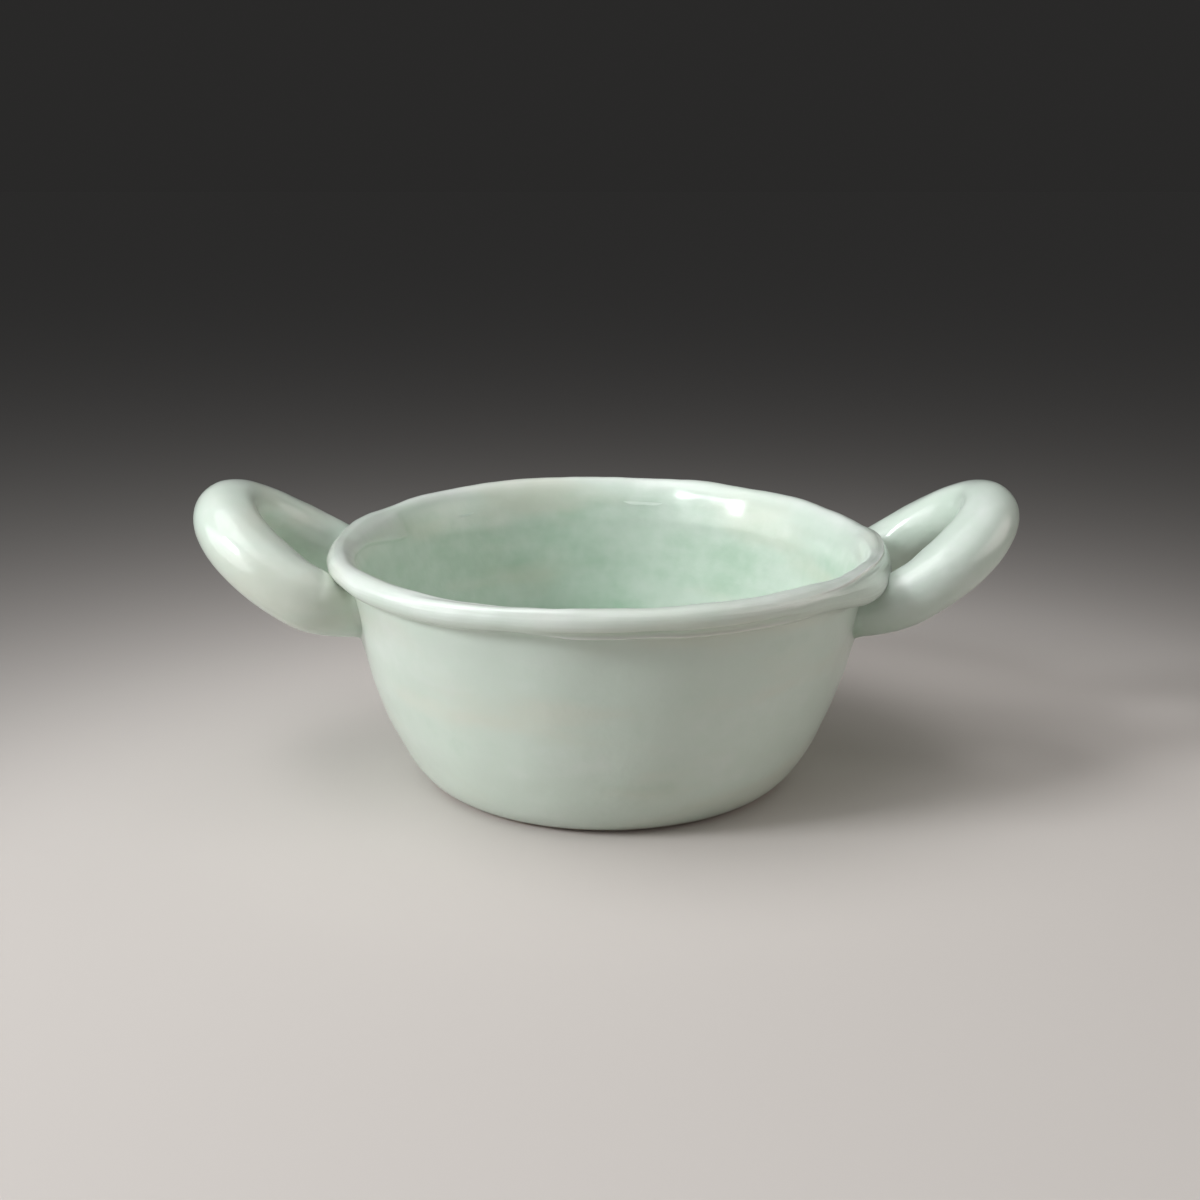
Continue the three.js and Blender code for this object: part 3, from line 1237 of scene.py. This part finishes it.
        # Deeper, darker glaze near the wall: partly glaze pooled in the crease, partly painted shade.
        depth += self.root_pool * (1.0 - smooth_step(clear, 0.0, self.root_pool_and_shade_reach))
        # Partly pooled glaze and partly painted shade: darker glaze on the lower faces of the loop's inner
        # side.
        below = 1.0 - smooth_step(outward.z, *self.shade_upper_edge)
        return depth + self.inner_pool_and_painted_shade * smooth_step(inward, *self.inner_shade_edge) * below

    def worked(self, vert: bmesh.types.BMVert) -> tuple[Vector, float]:
        """Flares the coil at the wall, presses it on, dents it and flattens its top.

        Args:
            vert: A vertex of the even coil.

        Returns:
            Its worked place, and how deep the glaze lies there.
        """
        point, outward = vert.co, vert.normal
        middle = self.run[vert.index // self.sides][0]
        spread = (point - middle).normalized() * self.flare(point, outward)
        clear = self.form.clear_of_wall(point)
        dent = self.hand.dent(point, self.dent_deep, self.ripple) * smooth_step(clear, 0.0, self.follow)
        inward = self.inward(middle, outward)
        fill = self.shoulder_fill(outward, inward, clear)
        place = self.hand.sway(self.pressed(point + spread)) + outward * (dent + fill)
        return place, self.glaze_depth(outward, inward, clear)

    def build(self) -> bpy.types.Object:
        """Makes the handle.

        Returns:
            The finished object.
        """
        form = self.sweep()
        work_over(form, self.worked)
        return self.piece.settle(form)


@dataclass
class RootWeld:
    """Clay worked in round one end of a handle: a low swelling with a tail down the wall."""

    side: Side
    end: End
    form: BowlForm
    hand: HandWork
    piece: Piece
    root_spread: float = 51.0
    root_height: float = 65.5
    half_width: float = 12.5
    half_height: float = 12.0
    tail: float = 8.0
    proud: float = 1.0
    sunk: float = 1.2
    feather: float = 0.10
    tail_narrow: float = 0.35
    tail_edge: tuple[float, float] = (0.2, 1.0)
    pool: float = 0.56
    around_steps: int = 56
    rise_steps: int = 36

    def worked(self, vert: bmesh.types.BMVert) -> tuple[Vector, float]:
        """Presses a ball flat on the wall round the root.

        Args:
            vert: A vertex of the ball, whose Z faces out of the wall and whose Y goes up it.

        Returns:
            Its place on the wall, and how deep the glaze lies there.
        """
        across, rise, top = vert.co
        wall = self.form.outside.at(self.root_height).x
        lean = math.asin(0.5 * self.root_spread / wall)
        out = min(math.hypot(across, rise), 1.0)
        height = self.root_height + rise * (self.half_height + (self.tail if rise < 0.0 else 0.0))
        width = self.half_width * (1.0 - self.tail_narrow * smooth_step(-rise, *self.tail_edge))
        face = self.form.outside.at(height).x
        angle = self.end.value * (lean + across * width / face)
        swell = self.proud * (1.0 - out * out) ** 2 if top > 0.0 else -self.sunk * (1.0 - out * out)
        reach = face + swell - self.feather
        place = Vector((reach * math.cos(angle) * self.side.value, reach * math.sin(angle), height))
        outward = Vector((place.x, place.y, 0.0)).normalized()
        return self.hand.sway(place + outward * self.hand.wall_depth(place)), self.pool

    def build(self) -> bpy.types.Object:
        """Makes the weld.

        Returns:
            The finished object.
        """
        form = bmesh.new()
        bmesh.ops.create_uvsphere(form, u_segments=self.around_steps, v_segments=self.rise_steps, radius=1.0)
        work_over(form, self.worked)
        close_up(form)
        return self.piece.settle(form)


@dataclass(frozen=True)
class Softbox:
    """A soft lamp that faces the bowl, in metres and watts, round or, if it is small, square."""

    name: str
    place: tuple[float, float, float]
    size: tuple[float, float]
    watts: float
    tint: tuple[float, float, float] = (1.0, 1.0, 1.0)
    aim: tuple[float, float, float] = (0.0, 0.0, 0.06)
    square_below: float = 0.5

    def hang(self) -> None:
        """Hangs the lamp."""
        light = bpy.data.lights.new(self.name, "AREA")
        light.shape = "RECTANGLE" if max(self.size) < self.square_below else "ELLIPSE"
        light.size, light.size_y = self.size
        light.energy = self.watts
        light.color = self.tint
        thing = bpy.data.objects.new(self.name, light)
        thing.location = self.place
        thing.rotation_euler = (Vector(self.aim) - Vector(self.place)).to_track_quat("-Z", "Y").to_euler()
        bpy.context.scene.collection.objects.link(thing)


COOL = (0.95, 0.975, 1.0)
WARM = (1.0, 0.94, 0.90)
SOFTBOXES = (
    Softbox("over_softbox", (0.0, -0.20, 1.80), (2.40, 2.40), 12.0),
    Softbox("key_softbox", (-0.95, 0.0, 1.70), (1.30, 1.30), 10.0),
    Softbox("front_softbox", (-1.32, -0.65, 1.00), (0.42, 0.42), 16.5, COOL),
    Softbox("low_softbox", (-1.70, -0.50, 0.50), (2.00, 1.00), 13.5),
    Softbox("near_softbox", (-0.60, -0.60, 1.60), (0.90, 0.90), 3.0),
    Softbox("right_softbox", (1.90, 0.0, 0.60), (1.50, 1.50), 5.0, WARM),
    Softbox("fill_softbox", (2.10, -0.45, 0.70), (2.20, 1.20), 9.0, WARM),
)


@dataclass
class Studio:
    """A floor with a painted pool of light, pale round the bowl and fading into a dark room, soft lamps and
    the camera, in metres.
    """

    camera_place: Vector = field(default_factory=lambda: Vector((-2.361361, -540.0, 220.027878)) * MM)
    camera_pitch: float = 0.284413
    focal_pixels: float = 1542.312
    image_pixels: float = 1200.0
    sensor: float = 36.0
    nearest: float = 0.01
    floor_size: float = 8.0
    floor_colour: tuple[float, float, float] = (0.56, 0.525, 0.497)
    wall_colour: tuple[float, float, float] = (0.0225, 0.022, 0.0215)
    pool_middle: tuple[float, float, float] = (0.03, -0.15, 0.0)
    painted_light_radius: float = 0.22
    painted_light_fade: float = 0.17
    painted_light_power: float = 2.0
    floor_rough: float = 0.9
    floor_shine: float = 0.1
    soft_colour: tuple[float, float, float] = (1.0, 0.99, 0.98)
    soft_strength: float = 0.02
    lamps: tuple[Softbox, ...] = SOFTBOXES

    def camera(self) -> None:
        """Sets up the camera at the viewing angle of the photograph."""
        lens = bpy.data.cameras.new("camera")
        lens.sensor_fit = "HORIZONTAL"
        lens.sensor_width = self.sensor
        lens.lens = self.focal_pixels / self.image_pixels * self.sensor
        lens.clip_start = self.nearest
        thing = bpy.data.objects.new("camera", lens)
        thing.location = self.camera_place
        thing.rotation_euler = (0.5 * math.pi - self.camera_pitch, 0.0, 0.0)
        bpy.context.scene.collection.objects.link(thing)
        bpy.context.scene.camera = thing

    def floor(self) -> None:
        """Lays the floor under the bowl."""
        form = bmesh.new()
        bmesh.ops.create_grid(form, x_segments=1, y_segments=1, size=self.floor_size)
        mesh = bpy.data.meshes.new("floor")
        form.to_mesh(mesh)
        form.free()
        mesh.materials.append(self.floor_painted_light())
        thing = bpy.data.objects.new("floor", mesh)
        bpy.context.scene.collection.objects.link(thing)

    def floor_painted_light(self) -> bpy.types.Material:
        """Builds the floor's paint: a painted pool of light, pale round the bowl and fading into the dark.

        Returns:
            The material.
        """
        material = bpy.data.materials.new("floor_painted_light")
        material.use_nodes = True
        wiring = Wiring(material.node_tree)
        place = wiring.add("TexCoord", {})["Object"]
        # Painted pool of light: the floor's colour falls from pale near the bowl to black further off, where
        # it glows the dark room colour.
        value = wiring.add("VectorMath", {0: place, 1: self.pool_middle}, operation="DISTANCE")["Value"]
        falloff = (("SUBTRACT", self.painted_light_radius), ("MAXIMUM", 0.0), ("DIVIDE", self.painted_light_fade),
                   ("POWER", self.painted_light_power), ("ADD", 1.0), ("POWER", -1.0))
        for operation, number in falloff:
            value = wiring.figure(operation, value, number)
        black = (0.0, 0.0, 0.0, 1.0)
        wiring.feed(material.node_tree.nodes["Principled BSDF"], {
            "Base Color": wiring.blend(value, black, (*self.floor_colour, 1.0)),
            "Emission Color": wiring.blend(value, (*self.wall_colour, 1.0), black),
            "Emission Strength": 1.0,
            "Roughness": self.floor_rough,
            "Specular IOR Level": self.floor_shine,
        })
        return material

    def room(self) -> None:
        """Sets the room: soft even light for surfaces, a dark wall for the eye and for reflections."""
        world = bpy.data.worlds.new("room")
        bpy.context.scene.world = world
        world.use_nodes = True
        world.node_tree.nodes.clear()
        wiring = Wiring(world.node_tree)
        soft = wiring.add("Background", {"Color": (*self.soft_colour, 1.0), "Strength": self.soft_strength})
        dark = wiring.add("Background", {"Color": (*self.wall_colour, 1.0), "Strength": 1.0})
        rays = wiring.add("LightPath", {})
        seen = rays["Is Camera Ray"]
        for ray in ("Is Glossy Ray", "Is Transmission Ray"):
            seen = wiring.figure("MAXIMUM", seen, rays[ray])
        mixed = wiring.add("MixShader", {"Fac": seen, 1: soft["Background"], 2: dark["Background"]})
        wiring.add("OutputWorld", {"Surface": mixed["Shader"]})
        bpy.context.scene.view_settings.view_transform = "Standard"

    def build(self) -> None:
        """Sets up the whole studio."""
        self.camera()
        self.floor()
        for lamp in self.lamps:
            lamp.hang()
        self.room()


BODY_GLAZE = CeladonGlaze("body_celadon", bare_below=0.0012)
RIM_GLAZE = CeladonGlaze("rim_celadon")
HANDLE_GLAZE = CeladonGlaze("handle_celadon", coat_rough=0.11)
LOOP_SHAPES = {
    # The third value darkens each loop's lower inner side: partly pooled glaze, partly painted shade.
    Side.LEFT: {"bend_radius": 11.3, "leg_spread": 63.0, "inner_pool_and_painted_shade": 0.38},
    Side.RIGHT: {"bend_radius": 10.4, "leg_spread": 60.0, "inner_pool_and_painted_shade": 0.12},
}


def main() -> None:
    """Builds the studio and the bowl, piece by piece, and reports each piece."""
    logging.basicConfig(level=logging.INFO, format="%(name)s %(message)s")
    form, hand = BowlForm(), HandWork()
    glaze = GlazeDepth(form)
    Studio().build()
    body = Piece("bowl_body", "body_glaze", ("floor_slab", "bowl_wall"), BODY_GLAZE)
    rim = Piece("rim_coil", "rim_glaze", ("rim_roll",), RIM_GLAZE)
    makers = [BowlBody(form, hand, glaze, body), RimCoil(form, hand, glaze, rim)]
    for side, shape in LOOP_SHAPES.items():
        name = side.name.lower()
        loop = Piece(f"{name}_loop", "handle_glaze", (f"{name}_handle",), HANDLE_GLAZE)
        makers.append(LoopHandle(side, form, hand, loop, **shape))
        for end in End:
            root = f"{name}_{end.name.lower()}"
            weld = Piece(f"{root}_swelling", "handle_glaze", (f"{root}_weld",), HANDLE_GLAZE)
            makers.append(RootWeld(side, end, form, hand, weld))
    for maker in makers:
        faces, nodes = len(maker.build().data.polygons), ", ".join(maker.piece.nodes)
        LOG.info("%s: %d faces, stands for %s", maker.piece.name, faces, nodes)


if __name__ == "__main__":
    main()
